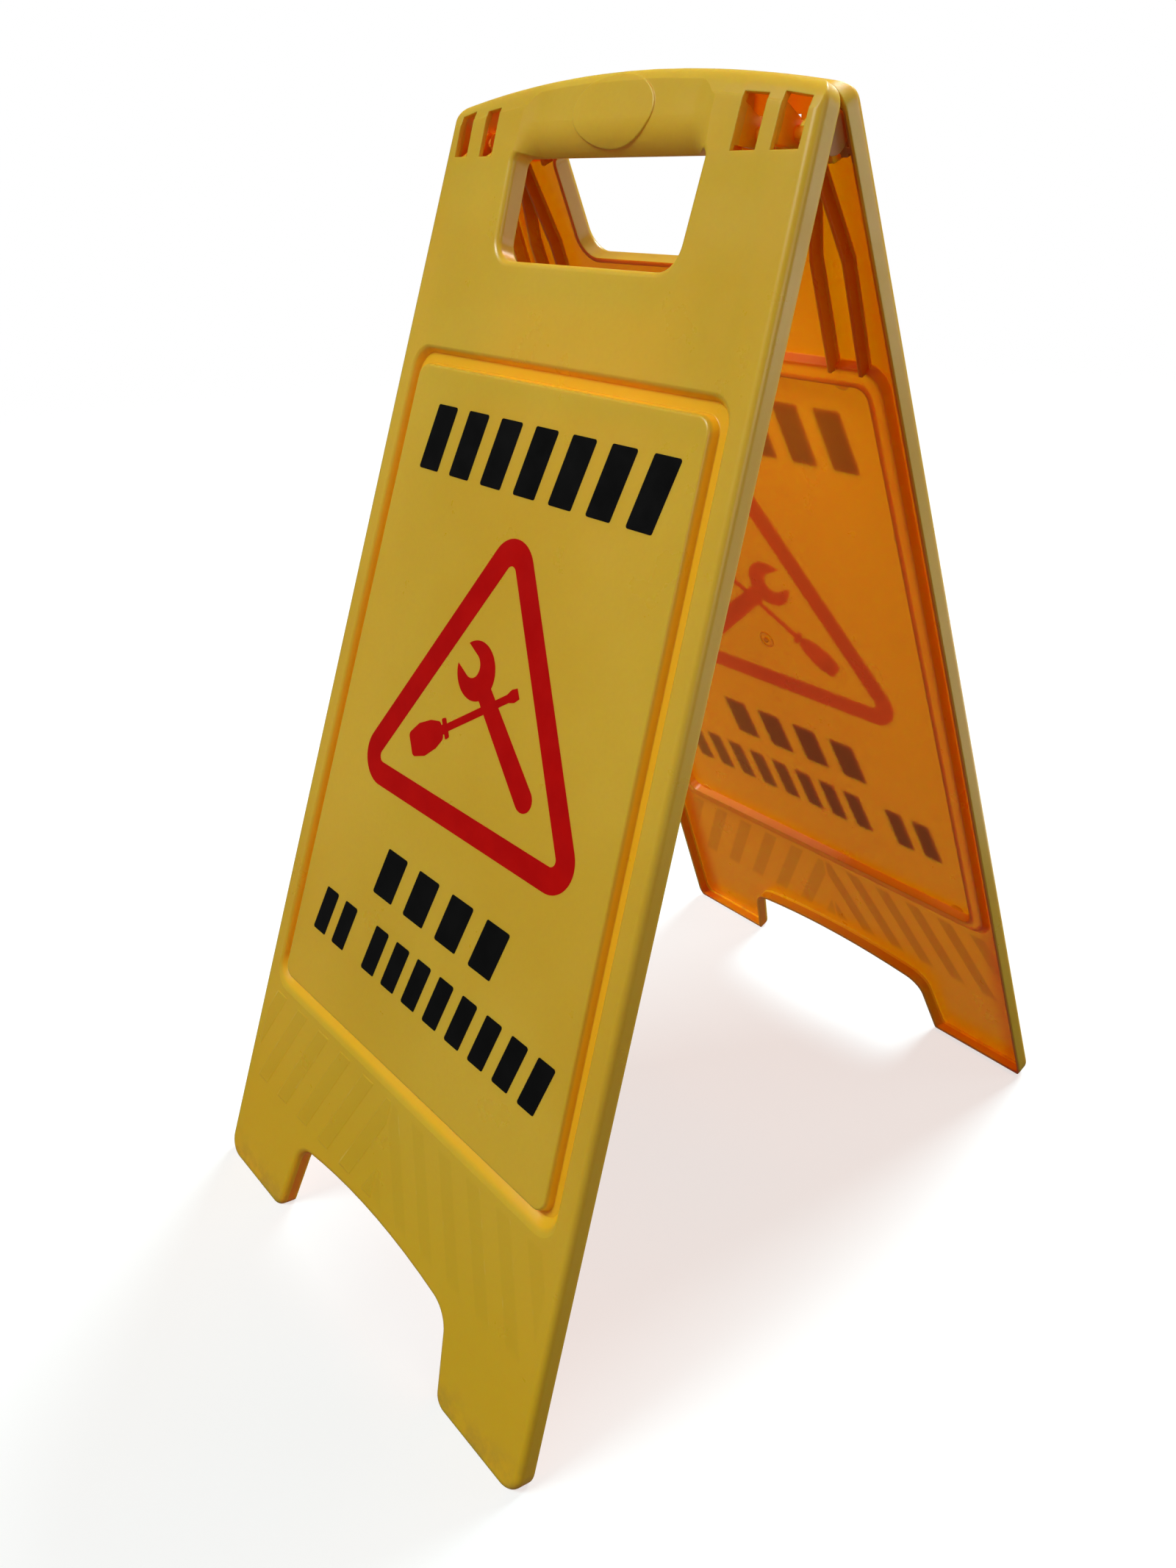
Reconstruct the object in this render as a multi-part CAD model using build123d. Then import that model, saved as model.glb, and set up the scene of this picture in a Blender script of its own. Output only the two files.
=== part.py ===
from build123d import *
import os
from math import sin, cos, tan, radians, degrees, atan2, hypot

os.makedirs("parts", exist_ok=True)

# ---------------------------------------------------------------- dimensions
# Leaf frame: x across, v up along the leaf, t outwards; v = t = 0 is the hinge axis.
HALF_ANGLE = 20.0        # lean of each leaf from the vertical, open
W_FOOT = 300.0           # leaf width at the floor
W_SILL = 232.0           # leaf width at the sill of the hinge windows
V_SILL = -10.5           # sill of the hinge windows
V_FOOT = -597.5          # foot of the outer face
V_CREST = 24.0           # top of the arched head
R_CREST = 640.0          # arch of the head
R_SHOULDER = 10.0
R_FOOT_OUT = 12.0
R_FOOT_IN = 9.0
T_RIM = 4.5              # rear edge of the flange
T_FACE = 14.5            # outer face
WALL = 2.2
R_EDGE = 3.8             # rounded edge between face and flange
ROLL_A, ROLL_B = 14.0, 7.0   # the head rolls over towards its crest: how far down it starts, how far back it goes

NOTCH_CREST = -543.0     # arched cut-out between the feet
R_NOTCH = 384.0
R_NOTCH_CORNER = 15.0

HOLE_TOP = -8.7          # hand hole
HOLE_BOTTOM = -55.3
HOLE_HALF_TOP = 61.6
HOLE_HALF_BOTTOM = 60.2
R_HOLE = 11.0
R_MOUTH = 3.0

BAR_T = 13.0             # crown of the handle bar
BAR_V = 4.0              # where the bar starts to roll under
BAR_LIP_T = 6.0          # its lower lip
BAR_HALF = (49.0, 63.0)  # full roll out to here, run out to nothing here

OVAL_V, OVAL_A, OVAL_B, OVAL_RAISE = 7.4, 25.5, 14.4, 0.6   # oval pad that follows the bar

WIN_PIN = ((75.2, 88.2), (95.6, 109.4))   # hinge windows over the pin, from the centre line
WIN_HOOK = ((78.0, 88.0), (98.0, 108.0))  # hinge windows over the hooks
WIN_TOP_IN, WIN_TOP_OUT = 10.2, 9.0

PANEL_MARGIN = 11.5      # leaf edge to the groove around the message pad
PANEL_TOP, PANEL_BOTTOM = -98.5, -467.5
R_PANEL = 12.0
GROOVE_DEPTH = 4.0
PAD_RAISE = 1.0
G_WALL, G_FLOOR, G_PAD = 2.0, 6.9, 8.6   # insets: foot of outer wall, foot of pad, top of pad
# outer wall of the groove: depth, inset at the sides and top, inset along the bottom, which is a broad slope
G_LIP = ((-0.6, -1.6, -5.0), (0.0, -0.9, -2.6), (0.45, 0.0, -0.6), (1.2, 0.7, 1.4), (2.5, 1.35, 3.6), (4.0, 2.0, 5.8))

STRIPE_H = 0.2           # raised herringbone band
STRIPE_PITCH, STRIPE_W, STRIPE_LEAN = 24.3, 11.5, 26.0
BAND_TOP, BAND_BOTTOM, BAND_MARGIN = -474.0, -534.0, 9.0

PIN_R = 3.0              # hinge pin, moulded on
HOOK_IN, HOOK_OUT = 3.05, 5.4
LUGS = ((72.6, 75.2), (89.4, 94.8))
LUG_OUTER, R_FAN = (109.5, 111.7), 7.7   # the outer lug is a disc that closes the end of the hinge box
HOOKS = ((79.2, 86.8), (99.2, 106.8))

RIB_X, RIB_BEND, RIB_W = (85.2, 102.0), -51.0, 1.8   # forked ribs under the hinge box

GATE = (5.0, -283.0)     # where the moulding was fed

INK = 0.1                # printed film
PRINT_X = 3.5            # the print sits a little off the centre line

A = radians(HALF_ANGLE)
HINGE_Z = -V_FOOT * cos(A) - T_FACE * sin(A)


def half_width(v):
    return W_SILL / 2 + (W_FOOT - W_SILL) / 2 * (V_SILL - v) / (V_SILL - V_FOOT)


def poly(points):
    return make_face(Polyline(*points, close=True))


def prism(face, low, high):
    """A flat face in x, v carried from depth low to depth high."""
    return extrude(Pos(0, 0, low) * face, amount=high - low)


def side_prism(points, x0, x1):
    """A profile given as v, t pairs, carried across from x0 to x1."""
    plane = Plane(origin=(x0, 0, 0), x_dir=(0, 1, 0), z_dir=(1, 0, 0))
    return extrude(plane * poly(points), amount=x1 - x0)


def profile(edges_face, x0, x1):
    plane = Plane(origin=(x0, 0, 0), x_dir=(0, 1, 0), z_dir=(1, 0, 0))
    return extrude(plane * edges_face, amount=x1 - x0)


def one(shape):
    """The single face of a sketch, on its own."""
    return Face(shape.faces()[0].wrapped)


def corner_fillet(face, picks, radius):
    face = one(face)
    chosen = [min(face.vertices(), key=lambda q: hypot(q.X - px, q.Y - pv)) for px, pv in picks]
    return one(fillet(chosen, radius))


# ------------------------------------------------------------------- outline
def outline():
    vb, vt = V_FOOT - 1.2, V_CREST + 20
    trap = poly([(-half_width(vb), vb), (half_width(vb), vb), (half_width(vt), vt), (-half_width(vt), vt)])
    head = Pos(0, V_CREST - R_CREST) * Circle(R_CREST)
    lower = Pos(0, -400) * Rectangle(400, 700)
    body = one(trap & (head + lower))
    side = 114.8
    arch = V_CREST - R_CREST + (R_CREST ** 2 - side * side) ** 0.5
    body = corner_fillet(body, [(side, arch), (-side, arch)], R_SHOULDER)
    hb = half_width(vb)
    body = corner_fillet(body, [(hb, vb), (-hb, vb)], R_FOOT_OUT)
    cut = poly([(-84.3, -606), (84.3, -606), (71.9, -540), (-71.9, -540)])
    cut = one(cut & (Pos(0, NOTCH_CREST - R_NOTCH) * Circle(R_NOTCH)))
    cut = one(fillet([q for q in cut.vertices() if q.Y > -580], R_NOTCH_CORNER))
    body = one(body - cut)
    nx = 84.3 - (84.3 - 71.9) * (vb + 606) / 66.0
    return corner_fillet(body, [(nx, vb), (-nx, vb)], R_FOOT_IN)


def panel(inset, foot=None):
    """The rounded frame of the message panel, drawn in by inset, and by foot along its bottom edge."""
    vt, vb = PANEL_TOP - inset, PANEL_BOTTOM + (inset if foot is None else foot)
    a = half_width(vt) - PANEL_MARGIN - inset
    b = half_width(vb) - PANEL_MARGIN - inset
    f = poly([(-b, vb), (b, vb), (a, vt), (-a, vt)])
    return one(fillet(f.vertices(), max(R_PANEL - inset * 0.6, 5.0)))


def frustum(inset0, t0, inset1, t1):
    return loft([Pos(0, 0, t0) * panel(inset0), Pos(0, 0, t1) * panel(inset1)], ruled=True)


def hole_face(grow=0.0):
    f = poly([(-HOLE_HALF_BOTTOM - grow, HOLE_BOTTOM - grow), (HOLE_HALF_BOTTOM + grow, HOLE_BOTTOM - grow),
              (HOLE_HALF_TOP + grow, HOLE_TOP + grow), (-HOLE_HALF_TOP - grow, HOLE_TOP + grow)])
    f = one(fillet([q for q in f.vertices() if q.Y < -40], R_HOLE + grow))
    return one(fillet([q for q in f.vertices() if q.Y > -20 + grow], 4.0 + grow))


def bar_section(x, k, drop):
    """Space in front of the handle bar at one x: k = 0 is the full roll-under, k = 1 is level with the face."""
    r = ((BAR_V - HOLE_TOP) ** 2 + (BAR_T - BAR_LIP_T) ** 2) / (2 * (BAR_T - BAR_LIP_T)) - drop
    end_v = HOLE_TOP - 1.0 if drop <= 0 else HOLE_TOP + 1.4
    level = T_FACE + 0.15 - drop

    def depth(v):
        t = BAR_T - drop - r + (r * r - (v - BAR_V) ** 2) ** 0.5
        return t + (level - t) * k

    pts = [(BAR_V + (end_v - BAR_V) * i / 5, depth(BAR_V + (end_v - BAR_V) * i / 5)) for i in range(6)]
    edges = [Line((40, pts[0][1]), pts[0]), Spline(*pts), Line(pts[-1], (end_v, 30)), Line((end_v, 30), (40, 30)),
             Line((40, 30), (40, pts[0][1]))]
    return Plane(origin=(x, 0, 0), x_dir=(0, 1, 0), z_dir=(1, 0, 0)) * make_face(edges)


def crest_roll(drop):
    """The space in front of the rounded crest, as a ring about the centre of the crest arch."""
    r0, t0 = R_CREST - ROLL_A - drop, T_FACE - ROLL_B - drop
    arc = [(r0 + ROLL_A * cos(radians(q)), t0 + ROLL_B * sin(radians(q))) for q in range(0, 91, 15)]
    edges = [Spline(*arc, tangents=((0, 1), (-1, 0))), Line((r0, T_FACE - drop), (r0, 30)), Line((r0, 30), (R_CREST + 8, 30)),
             Line((R_CREST + 8, 30), (R_CREST + 8, t0)), Line((R_CREST + 8, t0), (r0 + ROLL_A, t0))]
    flat = Plane(origin=(0, V_CREST - R_CREST, 0), x_dir=(0, 1, 0), z_dir=(1, 0, 0)) * make_face(edges)
    axis = Axis((0, V_CREST - R_CREST, 0), (0, 0, 1))
    return revolve(flat, axis, 16) + revolve(flat, axis, -16)


def bar_roll(drop):
    """The space in front of the handle bar, with its roll-under and ends that run out softly into the margins."""
    x0, x1 = BAR_HALF[0] + drop * 0.4, BAR_HALF[1] + drop * 0.4
    block = extrude(bar_section(-x0, 0.0, drop), amount=2 * x0)
    for s in (1, -1):
        cuts = []
        for u in (0.0, 0.2, 0.4, 0.6, 0.8, 1.0):
            cuts.append(bar_section(s * (x0 + (x1 - x0) * u), u * u * (3 - 2 * u), drop))
        block = block + loft(cuts)
    return block


# ---------------------------------------------------------------- outer form
OUT = outline()
floor_plane = Plane(origin=(0, -HINGE_Z / cos(A), 0), x_dir=(1, 0, 0), z_dir=(0, cos(A), sin(A)))

outer = prism(OUT, T_RIM, T_FACE)
outer = fillet(outer.faces().sort_by(Axis.Z)[-1].edges(), R_EDGE)
outer = split(outer, bisect_by=floor_plane, keep=Keep.TOP)
outer = outer - crest_roll(0.0)

outer = outer - loft([Pos(0, 0, T_FACE - d) * panel(a, b) for d, a, b in reversed(G_LIP)])
pad = frustum(G_FLOOR, T_FACE - GROOVE_DEPTH - 0.5, G_PAD, T_FACE + PAD_RAISE)
pad_top = pad.faces().sort_by(Axis.Z)[-1]
pad = fillet(pad_top.edges(), 1.2)
outer = outer + pad

# hand hole with a softened mouth, then the handle bar rolled back above it
outer = outer - prism(hole_face(), -6.0, 30.0)
mouth = [e for e in outer.edges() if abs(e.center().Z - T_FACE) < 1e-3 and HOLE_BOTTOM - 0.5 < e.center().Y < HOLE_TOP + 0.5
         and abs(e.center().X) < HOLE_HALF_TOP + 0.5]
outer = fillet(mouth, R_MOUTH)
outer = outer - bar_roll(0.0)
oval = prism(Pos(0, OVAL_V) * Ellipse(OVAL_A, OVAL_B), 5.0, T_FACE + 2.0) - bar_roll(-OVAL_RAISE)
rim = [e for e in oval.edges() if e.center().Z > 6.0 and any(abs(f.normal_at(e @ 0.5).Z) < 0.05 for f in oval.faces() if e in f.edges())]
oval = fillet(rim, 0.45)
outer = outer + (oval - crest_roll(-0.3))

# --------------------------------------------------------------- inner cavity
def shelf(s):
    return Pos(s * 95, V_SILL, T_FACE) * Rot(HALF_ANGLE, 0, 0) * Pos(0, -WALL / 2, -8.0) * Box(62, WALL, 34)


inner = prism(one(offset(OUT, -WALL)), -5.0, T_FACE - WALL)
inner = split(inner, bisect_by=Plane(floor_plane.location * Pos(0, 0, 2.4)), keep=Keep.TOP)
inner = inner - loft([Pos(0, 0, T_FACE - GROOVE_DEPTH - WALL) * panel(0.2, 4.0), Pos(0, 0, T_FACE - WALL + 0.4) * panel(-2.0, -2.4)], ruled=True)
inner = inner + frustum(G_FLOOR + 2.0, T_FACE - GROOVE_DEPTH - WALL - 0.2, G_PAD + 2.0, T_FACE + PAD_RAISE - WALL)
inner = inner - bar_roll(WALL)
inner = inner - crest_roll(WALL)
inner = inner - prism(hole_face(WALL), -6.0, 20.0)
for s in (1, -1):
    # sill of the hinge box, level when the sign stands open, and the web beside the handle bar
    inner = inner - shelf(s)
    inner = inner - Pos(s * 71.1, 6, 5) * Box(WALL, 36, 24)
    # forked ribs that spread the hinge load into the panel frame
    for x1 in RIB_X:
        for x0, v0, v1 in ((93.0, V_SILL + 1.3, RIB_BEND), (x1, RIB_BEND, -100.0)):
            ln, ang = hypot(x1 - x0, v1 - v0), degrees(atan2(v1 - v0, s * (x1 - x0)))
            inner = inner - Pos(s * (x0 + x1) / 2, (v0 + v1) / 2, 9.7) * Rot(0, 0, ang) * Box(ln, RIB_W, 9.0)
        inner = inner - Pos(s * x1, RIB_BEND, 9.7) * Cylinder(RIB_W / 2, 9.0)

# half-round ejector pads beside the ridge behind the groove, and the gate mark
ridge = PANEL_MARGIN + G_FLOOR + 2.4
ejectors = [(s * (half_width(v) - ridge), v) for v in (-186.0, -284.0, -382.0) for s in (1, -1)]
ejectors += [(s * 84.0, PANEL_TOP - G_FLOOR - 2.4) for s in (1, -1)] + [(s * 108.0, PANEL_BOTTOM + G_FLOOR + 2.4) for s in (1, -1)]
for x, v in ejectors:
    inner = inner - prism(Pos(x, v) * Circle(4.6), T_FACE + PAD_RAISE - WALL - 0.4, T_FACE + PAD_RAISE - WALL + 0.4)
gate = Pos(GATE[0], GATE[1])
t_in = T_FACE + PAD_RAISE - WALL
inner = inner - prism(gate * (Circle(5.2) - Circle(4.1)), t_in - 0.35, t_in + 0.4) - prism(gate * Circle(1.7), t_in - 0.9, t_in + 0.4)

# ----------------------------------------------------------------- leaf shell
leaf = outer - inner
for s, windows in ((1, WIN_PIN), (-1, WIN_HOOK)):
    a, b = windows[0]
    leaf = leaf - (prism(poly([(s * a, V_SILL), (s * b, V_SILL), (s * b, WIN_TOP_IN - 0.6), (s * a, WIN_TOP_IN + 0.6)]), 6.0, 20.0) - shelf(s))
    a, b = windows[1]
    leaf = leaf - (prism(poly([(s * a, V_SILL), (s * b, V_SILL), (s * b, WIN_TOP_OUT - 1.2), (s * a, WIN_TOP_OUT + 1.0)]), 6.0, 20.0) - shelf(s))

# the head is cut back so that the two leaves butt together when open
stop = side_prism([(5, 5 * tan(A) + 0.11), (45, 45 * tan(A) + 0.11), (45, -30), (5, -30)], -140, 140)
leaf = leaf - stop
# plate in the butting face of the head, behind the windows over the hooks
head = prism(OUT, -5.0, T_FACE - 1.0) - crest_roll(0.0)
for v0, x0, x1 in ((6.0, -101.0, -70.5), (4.2, -101.0, -95.3)):
    plate = side_prism([(v0, v0 * tan(A) + 0.11), (40, 40 * tan(A) + 0.11), (40, 40 * tan(A) + 1.2), (v0, v0 * tan(A) + 1.2)], x0, x1)
    leaf = leaf + (plate & head)
# end wall of the hinge box over the hooks, cleared for the disc of the other leaf
end = side_prism([(V_SILL, T_RIM), (12.0, T_RIM), (24.5, 24.5 * tan(A) + 0.11), (24.5, T_FACE - 1.0), (V_SILL, T_FACE - 1.0)], -112.2, -109.0)
leaf = leaf + ((end & head) - profile(Circle(R_FAN + 0.3), -113.0, -108.0))

# raised herringbone under the panel
def clipped(points, n, d):
    """The part of a polygon where n . p <= d."""
    out = []
    for p, q in zip(points, points[1:] + points[:1]):
        fp, fq = n[0] * p[0] + n[1] * p[1] - d, n[0] * q[0] + n[1] * q[1] - d
        if fp <= 0:
            out.append(p)
        if fp * fq < 0:
            k = fp / (fp - fq)
            out.append((p[0] + k * (q[0] - p[0]), p[1] + k * (q[1] - p[1])))
    return out


taper = (W_FOOT - W_SILL) / 2 / (V_SILL - V_FOOT)
lean = tan(radians(STRIPE_LEAN))
for k in range(-2, 8):
    x0 = k * STRIPE_PITCH - 6.0
    p = [(x0, BAND_TOP), (x0 + STRIPE_W, BAND_TOP), (x0 + STRIPE_W + (BAND_TOP - BAND_BOTTOM) * lean, BAND_BOTTOM),
         (x0 + (BAND_TOP - BAND_BOTTOM) * lean, BAND_BOTTOM)]
    p = clipped(p, (-1.0, 0.0), -0.9)
    if p:
        p = clipped(p, (1.0, taper), half_width(0) - BAND_MARGIN)
    if len(p) < 3 or poly(p).area < 20:
        continue
    for s in (1, -1):
        leaf = leaf + extrude(Pos(0, 0, T_FACE - 0.05) * poly([(s * a, b) for a, b in p]), amount=STRIPE_H + 0.05, taper=62)

# ------------------------------------------------------------ moulded-on hinge
root = T_FACE - 1.2
for a, b in LUGS:
    lug = side_prism([(-8, root), (8, root), (5.0, 0), (-5.0, 0)], a, b) + profile(Circle(5.0), a, b)
    leaf = leaf + lug
a, b = LUG_OUTER
fan = profile(Circle(R_FAN), a, b)
leaf = leaf + (fan + side_prism([(-5.2, 0), (6.5, 0), (6.5, root), (-10.0, root)], a, b))
leaf = leaf + profile(Circle(PIN_R), LUGS[0][0] + 0.5, LUG_OUTER[1] - 0.5)

mouth_dir = radians(200.0)   # v, t angle of the snap mouth
for a, b in HOOKS:
    ring = profile(Circle(HOOK_OUT), -b, -a)
    arm = side_prism([(V_SILL - 1.5, 3.0), (V_SILL - 1.5, 11.5), (V_SILL + 1, 11.5), (-3.5, 5.8), (-1, 4.6), (-4.6, 1.5)], -b, -a)
    hook = ring + arm - profile(Circle(HOOK_IN), -b - 1, -a + 1)
    w = HOOK_IN * 0.78
    gap = [(0, -w), (9, -w), (9, w), (0, w)]
    # the mouth looks away from the leaf and a little upwards
    th = radians(-70.0)
    gap = [(p * cos(th) - q * sin(th), p * sin(th) + q * cos(th)) for p, q in gap]
    hook = hook - side_prism(gap, -b - 1, -a + 1)
    leaf = leaf + hook

leaf = leaf.solids().sort_by(SortBy.VOLUME)[-1] if not isinstance(leaf, Solid) else leaf

# ----------------------------------------------------------------- printed ink
T_INK = T_FACE + PAD_RAISE


def film(faces):
    return [prism(f, T_INK, T_INK + INK) for f in faces]


def rounded_triangle(v_top, v_base, half, r):
    f = poly([(-half, v_base), (half, v_base), (0, v_top)])
    return one(fillet(f.vertices(), r))


# warning triangle: an even rounded outline
tri_out = Pos(PRINT_X, 0) * rounded_triangle(-160.5, -320.5, 98.5, 16.0)
tri_in = one(offset(tri_out, -12.6))
tri = (tri_out - tri_in).faces()


# crossed spanner and screwdriver, each drawn upright and turned into place
def spun(face, ang, x, v):
    return Pos(x, v) * Rot(0, 0, ang) * face


shank = poly([(-5.2, 0), (5.2, 0), (6.4, -70), (-6.4, -70)])
spanner = shank + Pos(0, -70) * Circle(6.4) + Circle(14.6)
spanner = spanner - Rot(0, 0, 15) * (Pos(0, 14) * Rectangle(12.4, 20) + Pos(0, 4.2) * Circle(6.2))
blade = poly([(-2.0, 30), (2.0, 30), (2.0, 80), (3.2, 84), (2.6, 88), (-2.6, 88), (-3.2, 84), (-2.0, 80)])
grip = one(fillet(poly([(-6.2, 0), (6.2, 0), (8.6, 10), (7.4, 20), (4.4, 27.5), (-4.4, 27.5), (-7.4, 20), (-8.6, 10)]).vertices(), 2.6))
collar = one(fillet(poly([(-5.6, 28.6), (5.6, 28.6), (5.0, 32.2), (-5.0, 32.2)]).vertices(), 1.0))
tools = (spun(spanner, 49.2, PRINT_X - 10.0, -240.5) + spun(blade + grip + collar, -55.8, PRINT_X - 49.0, -291.0)
         + spun(Pos(0, 28) * Rectangle(5.0, 6.0), -55.8, PRINT_X - 49.0, -291.0))
tools = tools.faces()

# rows of plain slanted bars
def bar_row(count, x0, x1, v0, v1, fill=0.62, lean_mm=7.0, skip=None):
    cells = count + (0.6 if skip is not None else 0.0)
    step = (x1 - x0 - lean_mm) / (cells - 1 + fill)
    out, x = [], x0
    for i in range(count):
        w = step * fill
        f = poly([(x, v0), (x + w, v0), (x + w + lean_mm, v1), (x + lean_mm, v1)])
        out.append(one(fillet(f.vertices(), 1.2)))
        x += step
        if skip is not None and i == skip:
            x += 0.6 * step
    return out


rows = (bar_row(7, PRINT_X - 89.0, PRINT_X + 89.0, -156.5, -124.5) + bar_row(4, PRINT_X - 56.0, PRINT_X + 56.0, -376.0, -348.5)
        + bar_row(10, PRINT_X - 105.0, PRINT_X + 105.0, -419.5, -391.5, skip=1))

# -------------------------------------------------------------------- assembly
stand = Pos(0, 0, HINGE_Z) * Rot(90 - HALF_ANGLE, 0, 0)
turn = Rot(0, 0, 180)


def put(name, shapes, place):
    moved = [place * s for s in shapes]
    export_step(moved[0] if len(moved) == 1 else Compound(children=moved), f"parts/{name}.step")
    return moved


for side, place in (("front", stand), ("rear", turn * stand)):
    put(f"{side}_leaf", [leaf], place)
    put(f"{side}_print_triangle", film(tri), place)
    put(f"{side}_print_tools", film(tools), place)
    put(f"{side}_print_bars", film(rows), place)

print("leaf volume", leaf.volume, "solids", len(leaf.solids()), "faces", len(leaf.faces()), "valid", leaf.is_valid)
print("hinge height", HINGE_Z)
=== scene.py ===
import bpy, math
from mathutils import Matrix, Vector

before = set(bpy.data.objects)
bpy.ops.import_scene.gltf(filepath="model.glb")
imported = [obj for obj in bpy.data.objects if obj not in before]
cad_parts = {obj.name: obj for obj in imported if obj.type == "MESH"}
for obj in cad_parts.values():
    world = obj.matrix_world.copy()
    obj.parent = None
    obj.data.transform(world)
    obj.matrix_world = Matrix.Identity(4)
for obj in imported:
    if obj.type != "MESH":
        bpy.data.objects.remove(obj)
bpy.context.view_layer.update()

# ------------------------------------------------------------------ constants
LEAN = math.radians(20.0)          # lean of each leaf from the vertical
HINGE_Z = 0.556507                 # height of the hinge axis


# ------------------------------------------------------------- node utilities
class Tree:
    """Small helper that adds nodes and links to a material."""

    def __init__(self, mat):
        self.t = mat.node_tree
        self.n = self.t.nodes
        self.l = self.t.links

    def add(self, kind, **values):
        node = self.n.new(kind)
        for key, value in values.items():
            setattr(node, key, value)
        return node

    def link(self, a, b):
        self.l.new(a, b)

    def math(self, op, a, b=None, clamp=False):
        node = self.add("ShaderNodeMath", operation=op, use_clamp=clamp)
        for i, v in enumerate((a, b)):
            if v is None:
                continue
            if isinstance(v, (int, float)):
                node.inputs[i].default_value = v
            else:
                self.link(v, node.inputs[i])
        return node.outputs[0]

    def ramp(self, value, lo, hi, a=0.0, b=1.0):
        node = self.add("ShaderNodeMapRange", interpolation_type="SMOOTHSTEP", clamp=True)
        self.link(value, node.inputs["Value"])
        node.inputs["From Min"].default_value = lo
        node.inputs["From Max"].default_value = hi
        node.inputs["To Min"].default_value = a
        node.inputs["To Max"].default_value = b
        return node.outputs["Result"]

    def noise(self, vec, scale, detail=4.0, rough=0.5, distort=0.0):
        node = self.add("ShaderNodeTexNoise")
        self.link(vec, node.inputs["Vector"])
        node.inputs["Scale"].default_value = scale
        node.inputs["Detail"].default_value = detail
        node.inputs["Roughness"].default_value = rough
        node.inputs["Distortion"].default_value = distort
        return node.outputs["Fac"]

    def mix(self, fac, a, b):
        node = self.add("ShaderNodeMix", data_type="RGBA")
        if isinstance(fac, (int, float)):
            node.inputs["Factor"].default_value = fac
        else:
            self.link(fac, node.inputs["Factor"])
        for sock, v in ((node.inputs[6], a), (node.inputs[7], b)):
            if isinstance(v, tuple):
                sock.default_value = (*v, 1.0)
            else:
                self.link(v, sock)
        return node.outputs[2]

    def scaled(self, vec, x, y, z):
        node = self.add("ShaderNodeMapping")
        self.link(vec, node.inputs["Vector"])
        node.inputs["Scale"].default_value = (x, y, z)
        return node.outputs["Vector"]


def material(name):
    m = bpy.data.materials.new(name)
    m.use_nodes = True
    t = Tree(m)
    return m, t, t.n["Principled BSDF"]


def lamp_passes(t, p, colour):
    """Lets light from lamps through a surface in the colour given."""
    clear = t.add("ShaderNodeBsdfTransparent")
    clear.inputs["Color"].default_value = (*colour, 1.0)
    both = t.add("ShaderNodeMixShader")
    t.link(t.add("ShaderNodeLightPath").outputs["Is Shadow Ray"], both.inputs[0])
    t.link(p.outputs[0], both.inputs[1])
    t.link(clear.outputs[0], both.inputs[2])
    t.link(both.outputs[0], t.n["Material Output"].inputs["Surface"])


# ------------------------------------------------------------------- leaf PP
def leaf_place(t):
    """Leaf-local coordinates in metres: x across, v up along the leaf from the hinge, depth outwards, and how far a face looks outwards."""
    tc = t.add("ShaderNodeTexCoord")
    obj = tc.outputs["Object"]
    pos = t.add("ShaderNodeSeparateXYZ")
    t.link(obj, pos.inputs[0])
    nrm = t.add("ShaderNodeSeparateXYZ")
    t.link(tc.outputs["Normal"], nrm.inputs[0])
    side = t.math("SIGN", pos.outputs["Y"])
    away = t.math("ABSOLUTE", pos.outputs["Y"])
    rise = t.math("SUBTRACT", pos.outputs["Z"], HINGE_Z)
    depth = t.math("ADD", t.math("MULTIPLY", away, math.cos(LEAN)), t.math("MULTIPLY", rise, math.sin(LEAN)))
    v = t.math("SUBTRACT", t.math("MULTIPLY", rise, math.cos(LEAN)), t.math("MULTIPLY", away, math.sin(LEAN)))
    outward = t.math("ADD", t.math("MULTIPLY", t.math("MULTIPLY", side, nrm.outputs["Y"]), math.cos(LEAN)),
                     t.math("MULTIPLY", nrm.outputs["Z"], math.sin(LEAN)))
    x = t.math("ABSOLUTE", pos.outputs["X"])
    half = t.math("ADD", t.math("MULTIPLY", v, -0.034 / 0.587), 0.116 - 0.0105 * 0.034 / 0.587)
    margin = t.math("SUBTRACT", half, x)
    return obj, x, v, depth, outward, margin


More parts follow.
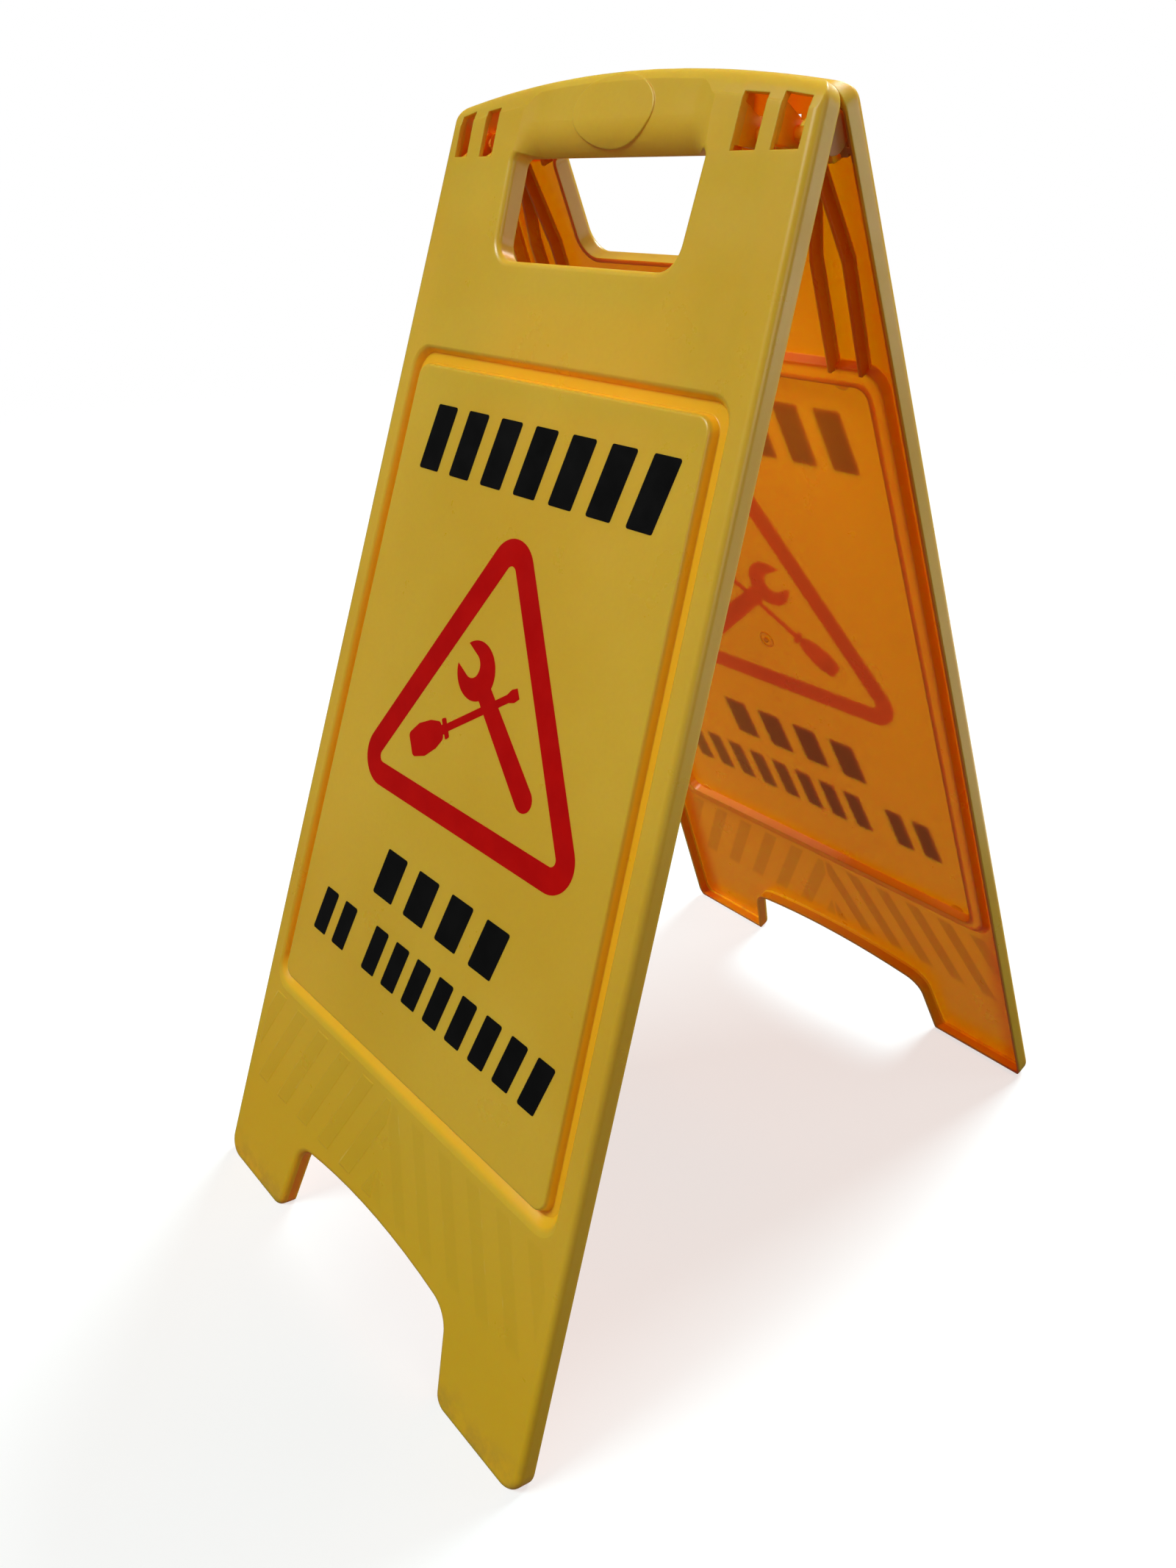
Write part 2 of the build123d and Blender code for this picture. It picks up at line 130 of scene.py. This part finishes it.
def leaf_material():
    m, t, p = material("leaf_polypropylene")
    obj, x, v, depth, outward, margin = leaf_place(t)

    broad = t.noise(obj, 7.0, 3.0, 0.5)
    fine = t.noise(obj, 420.0, 3.0, 0.6)
    col = t.mix(t.ramp(broad, 0.35, 0.65), (0.665, 0.437, 0.029), (0.715, 0.487, 0.042))
    col = t.mix(t.ramp(fine, 0.2, 0.8, 0.0, 0.10), col, (0.55, 0.33, 0.015))
    # painted shade: towards the bottom the colour is painted more saturated, standing in for the pale reflection
    # that weakens low down
    col = t.mix(t.ramp(v, -0.40, -0.57, 0.0, 0.8), col, (0.690, 0.455, 0.009))
    # painted glow: recesses of the outer side are painted a more saturated orange, standing in for light that
    # bleeds through and bounces inside the grooves
    recess_glow = t.math("MULTIPLY", t.ramp(depth, 0.0144, 0.0128), t.ramp(margin, 0.0085, 0.0105))
    recess_glow = t.math("MULTIPLY", recess_glow, t.ramp(v, -0.085, -0.092))
    col = t.mix(t.math("MULTIPLY", recess_glow, 0.85), col, (0.95, 0.520, 0.010))
    # herringbone, seen as broad soft bands
    lean = math.tan(math.radians(26.0))
    run = t.math("ADD", t.math("ADD", x, t.math("MULTIPLY", v, lean)), 0.474 * lean + 0.006 + 10 * 0.0243)
    saw = t.math("FRACT", t.math("DIVIDE", run, 0.0243))
    field = t.math("MULTIPLY", t.ramp(v, -0.473, -0.476), t.ramp(v, -0.536, -0.530))
    field = t.math("MULTIPLY", field, t.math("MULTIPLY", t.ramp(margin, 0.007, 0.010), t.ramp(x, 0.0, 0.002)))
    band = t.math("MULTIPLY", t.math("MULTIPLY", t.ramp(saw, -0.04, 0.06), t.ramp(saw, 0.51, 0.41)), field)
    col = t.mix(t.math("MULTIPLY", band, 0.20), col, (0.52, 0.36, 0.010))
    # scuffs: pale rubs on the stripe edges, fine scratches, and grime near the floor
    edge = t.math("MAXIMUM", t.ramp(t.math("ABSOLUTE", t.math("SUBTRACT", saw, 0.02)), 0.035, 0.0),
                  t.ramp(t.math("ABSOLUTE", t.math("SUBTRACT", saw, 0.47)), 0.035, 0.0))
    rub = t.math("MULTIPLY", t.math("MULTIPLY", edge, field), t.ramp(t.noise(obj, 55.0, 4.0, 0.6), 0.54, 0.70))
    along = t.noise(t.scaled(obj, 900.0, 34.0, 34.0), 1.0, 3.0, 0.55, 0.6)
    across = t.noise(t.scaled(obj, 60.0, 800.0, 800.0), 1.0, 3.0, 0.55, 0.6)
    scratch = t.math("MAXIMUM", t.ramp(along, 0.72, 0.78), t.ramp(across, 0.73, 0.79))
    scratch = t.math("MULTIPLY", scratch, t.ramp(t.noise(obj, 9.0, 3.0, 0.6), 0.48, 0.62))
    worn = t.math("ADD", t.math("MULTIPLY", rub, 0.35), t.math("MULTIPLY", scratch, 0.22), clamp=True)
    col = t.mix(worn, col, (0.80, 0.66, 0.22))
    grime = t.math("MULTIPLY", t.ramp(v, -0.572, -0.602), t.ramp(t.noise(obj, 80.0, 6.0, 0.65), 0.40, 0.66))
    col = t.mix(t.math("MULTIPLY", grime, 0.42), col, (0.26, 0.19, 0.045))
    # the hollow side, with its ribs and ridges, shows the deep orange of light that came through
    deep = t.math("MULTIPLY", t.ramp(depth, 0.0106, 0.0101), t.ramp(margin, 0.0010, 0.0016))
    lining = t.math("MULTIPLY", t.ramp(x, 0.0626, 0.0622), t.math("MULTIPLY", t.ramp(v, -0.0565, -0.0560), t.ramp(v, 0.026, 0.024)))
    deep = t.math("MULTIPLY", deep, t.math("SUBTRACT", 1.0, lining))
    deep = t.math("MULTIPLY", deep, t.ramp(v, 0.008, 0.004))
    facing = t.math("MULTIPLY", t.ramp(outward, 0.10, -0.35), t.ramp(margin, 0.0019, 0.0025))
    inner = t.math("MAXIMUM", facing, deep)
    # painted shade: the herringbone bands are painted darker on the hollow side, where less light comes through
    # the thicker relief
    inside = t.mix(band, (0.71, 0.220, 0.004), (0.60, 0.175, 0.003))
    # painted shade: deeper red in the channel along the flange; painted glow: brighter orange inside the hinge
    # box, standing in for light that comes through its walls and windows
    inside = t.mix(t.ramp(margin, 0.022, 0.009, 0.0, 0.85), inside, (0.62, 0.092, 0.002))
    # painted shade: the sides of the ribs are painted a darker red-orange, where they stand in shade
    rib = t.math("MULTIPLY", t.ramp(depth, 0.0121, 0.0116), t.ramp(v, -0.102, -0.099))
    inside = t.mix(t.math("MULTIPLY", rib, 0.8), inside, (0.60, 0.100, 0.002))
    hinge = t.math("MULTIPLY", t.ramp(x, 0.0685, 0.0700), t.ramp(v, -0.0135, -0.0120))
    # painted light: the box at the left end is painted redder and the one at the right brighter, standing in for
    # how differently the two ends are lit
    signed = t.add("ShaderNodeSeparateXYZ")
    t.link(obj, signed.inputs[0])
    right_end = t.ramp(signed.outputs["X"], -0.01, 0.01)
    inside = t.mix(hinge, inside, t.mix(right_end, (0.82, 0.330, 0.007), (0.90, 0.480, 0.006)))
    # painted shade: the end disc of the right-hand box is painted brown, standing in for the shade it sits in
    end_disc_shade = t.math("MULTIPLY", t.math("MULTIPLY", t.ramp(x, 0.1082, 0.1088), hinge), t.ramp(depth, 0.0090, 0.0080))
    end_disc_shade = t.math("MULTIPLY", end_disc_shade, right_end)
    inside = t.mix(end_disc_shade, inside, (0.36, 0.185, 0.050))
    col = t.mix(inner, col, inside)
    t.link(col, p.inputs["Base Color"])

    grain = t.noise(obj, 900.0, 2.0, 0.5)
    rough = t.ramp(t.noise(obj, 35.0, 5.0, 0.6), 0.3, 0.7, 0.27, 0.37)
    rough = t.math("ADD", rough, t.math("MULTIPLY", t.math("MAXIMUM", t.math("MAXIMUM", worn, grime), t.math("MULTIPLY", hinge, inner)), 0.22))
    t.link(rough, p.inputs["Roughness"])

    bevel = t.add("ShaderNodeBevel", samples=4)
    bevel.inputs["Radius"].default_value = 0.0008
    bump = t.add("ShaderNodeBump")
    bump.inputs["Strength"].default_value = 0.06
    bump.inputs["Distance"].default_value = 0.0004
    t.link(t.math("SUBTRACT", grain, t.math("MULTIPLY", scratch, 0.6)), bump.inputs["Height"])
    t.link(bevel.outputs["Normal"], bump.inputs["Normal"])
    t.link(bump.outputs["Normal"], p.inputs["Normal"])

    p.inputs["IOR"].default_value = 1.49
    p.subsurface_method = "RANDOM_WALK"
    t.link(t.ramp(inner, 0.0, 1.0, 0.45, 1.0), p.inputs["Subsurface Weight"])
    t.link(t.mix(t.math("MULTIPLY", inner, t.math("SUBTRACT", 1.0, hinge)), (1.0, 0.45, 0.03), (1.0, 1.22, 0.03)), p.inputs["Subsurface Radius"])
    p.inputs["Subsurface Scale"].default_value = 0.008
    lamp_passes(t, p, (0.50, 0.25, 0.02))
    return m


def ink_material(name, a, b, passes):
    """Screen-print film; light from lamps passes it in the colour given."""
    m, t, p = material(name)
    tc = t.add("ShaderNodeTexCoord")
    obj = tc.outputs["Object"]
    col = t.mix(t.ramp(t.noise(obj, 60.0, 4.0, 0.6), 0.3, 0.7), a, b)
    t.link(col, p.inputs["Base Color"])
    t.link(t.ramp(t.noise(obj, 90.0, 4.0, 0.6), 0.3, 0.7, 0.33, 0.45), p.inputs["Roughness"])
    bump = t.add("ShaderNodeBump")
    bump.inputs["Strength"].default_value = 0.08
    bump.inputs["Distance"].default_value = 0.0002
    t.link(t.noise(obj, 1200.0, 2.0, 0.5), bump.inputs["Height"])
    t.link(bump.outputs["Normal"], p.inputs["Normal"])
    p.inputs["Specular IOR Level"].default_value = 0.13
    if passes:
        lamp_passes(t, p, passes)
    return m


LEAF = leaf_material()
RED = ink_material("ink_red", (0.480, 0.0012, 0.0012), (0.540, 0.0025, 0.0015), (0.60, 0.085, 0.060))
BLACK = ink_material("ink_black", (0.0022, 0.0022, 0.0022), (0.0040, 0.0040, 0.0040), None)

for name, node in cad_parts.items():
    mat = LEAF if name.endswith("_leaf") else BLACK if name.endswith("_bars") else RED
    node.data.materials.clear()
    node.data.materials.append(mat)

# --------------------------------------------------------------------- camera
AZ, EL, ROLL = 0.881514, 0.497277, -0.033176
EYE = Vector((0.429091, -0.388891, 0.555674))
FOCAL = 1604.98 / 1600.0
fwd = Vector((-math.sin(AZ) * math.cos(EL), math.cos(AZ) * math.cos(EL), -math.sin(EL)))
right = Vector((math.cos(AZ), math.sin(AZ), 0.0))
up = right.cross(fwd)
c, s = math.cos(ROLL), math.sin(ROLL)
right, up = c * right + s * up, -s * right + c * up
cam_data = bpy.data.cameras.new("camera")
cam_data.sensor_fit = "HORIZONTAL"
cam_data.sensor_width = 36.0
cam_data.lens = 36.0 * FOCAL
cam_data.clip_start = 0.01
cam = bpy.data.objects.new("camera", cam_data)
bpy.context.scene.collection.objects.link(cam)
cam.matrix_world = Matrix(((right.x, up.x, -fwd.x, EYE.x), (right.y, up.y, -fwd.y, EYE.y), (right.z, up.z, -fwd.z, EYE.z), (0, 0, 0, 1)))
bpy.context.scene.camera = cam

# ---------------------------------------------------------------------- floor
def floor():
    rings, sides, rmax = 24, 96, 9.0
    verts, faces = [(0.0, 0.0, 0.0)], []
    for i in range(1, rings + 1):
        r = rmax * (i / rings) ** 1.6
        for j in range(sides):
            a = 2 * math.pi * j / sides
            verts.append((r * math.cos(a), r * math.sin(a), 0.0))
    for j in range(sides):
        faces.append((0, 1 + j, 1 + (j + 1) % sides))
    for i in range(1, rings):
        for j in range(sides):
            a, b = 1 + (i - 1) * sides + j, 1 + (i - 1) * sides + (j + 1) % sides
            faces.append((a, a + sides, b + sides, b))
    me = bpy.data.meshes.new("floor")
    me.from_pydata(verts, [], faces)
    o = bpy.data.objects.new("floor", me)
    bpy.context.scene.collection.objects.link(o)
    m, t, p = material("pale_floor")
    tc = t.add("ShaderNodeTexCoord")
    col = t.mix(t.noise(tc.outputs["Object"], 3.0, 5.0, 0.6), (0.265, 0.30, 0.30), (0.295, 0.33, 0.33))
    t.link(col, p.inputs["Base Color"])
    p.inputs["Roughness"].default_value = 0.8
    p.inputs["Emission Color"].default_value = (1, 1, 1, 1)
    p.inputs["Emission Strength"].default_value = 0.66
    # fades into the background far from the object
    dist = t.add("ShaderNodeVectorMath", operation="LENGTH")
    t.link(tc.outputs["Object"], dist.inputs[0])
    t.link(t.ramp(dist.outputs["Value"], 0.8, 3.0, 1.0, 0.0), p.inputs["Alpha"])
    me.materials.append(m)
    o.visible_glossy = False
    o.visible_diffuse = False


floor()

# --------------------------------------------------------------------- lights
def area(name, loc, target, size, power, colour=(1, 1, 1)):
    d = bpy.data.lights.new(name, "AREA")
    d.shape = "RECTANGLE"
    d.size, d.size_y = size
    d.energy = power
    d.color = colour
    o = bpy.data.objects.new(name, d)
    o.location = loc
    o.rotation_euler = (Vector(target) - Vector(loc)).to_track_quat("-Z", "Y").to_euler()
    bpy.context.scene.collection.objects.link(o)
    return o


def sun(name, toward, strength, angle, colour=(1, 1, 1)):
    d = bpy.data.lights.new(name, "SUN")
    d.energy, d.angle, d.color = strength, math.radians(angle), colour
    o = bpy.data.objects.new(name, d)
    o.rotation_euler = Vector(toward).to_track_quat("-Z", "Y").to_euler()
    bpy.context.scene.collection.objects.link(o)
    return o


area("key", (-1.1, -2.9, 4.2), (0.05, -0.1, 0.3), (1.8, 1.6), 179)
area("side", (1.9, -0.35, 0.9), (0, 0, 0.35), (0.9, 0.9), 7, (1.0, 0.88, 0.72))
area("sheen", (1.25, 1.40, 0.70), (0, 0, 0.42), (0.9, 0.9), 5)
sun("back", (0.15, -1.0, -1.0), 4.1, 25)
area("floor_glow", (0.5, 1.1, 0.004), (0.5, 1.1, 2.0), (2.4, 1.2), 8).visible_camera = False

world = bpy.data.worlds.new("studio")
bpy.context.scene.world = world
world.use_nodes = True
wt = world.node_tree
bg = wt.nodes["Background"]
bg.inputs["Color"].default_value = (1, 1, 1, 1)
bg.inputs["Strength"].default_value = 0.10
seen = wt.nodes.new("ShaderNodeBackground")
seen.inputs["Color"].default_value = (1, 1, 1, 1)
seen.inputs["Strength"].default_value = 1.0
path = wt.nodes.new("ShaderNodeLightPath")
both = wt.nodes.new("ShaderNodeMixShader")
wt.links.new(path.outputs["Is Camera Ray"], both.inputs[0])
wt.links.new(bg.outputs[0], both.inputs[1])
wt.links.new(seen.outputs[0], both.inputs[2])
wt.links.new(both.outputs[0], wt.nodes["World Output"].inputs["Surface"])

scene = bpy.context.scene
scene.view_settings.view_transform = "Standard"
scene.view_settings.look = "None"
scene.cycles.use_denoising = True
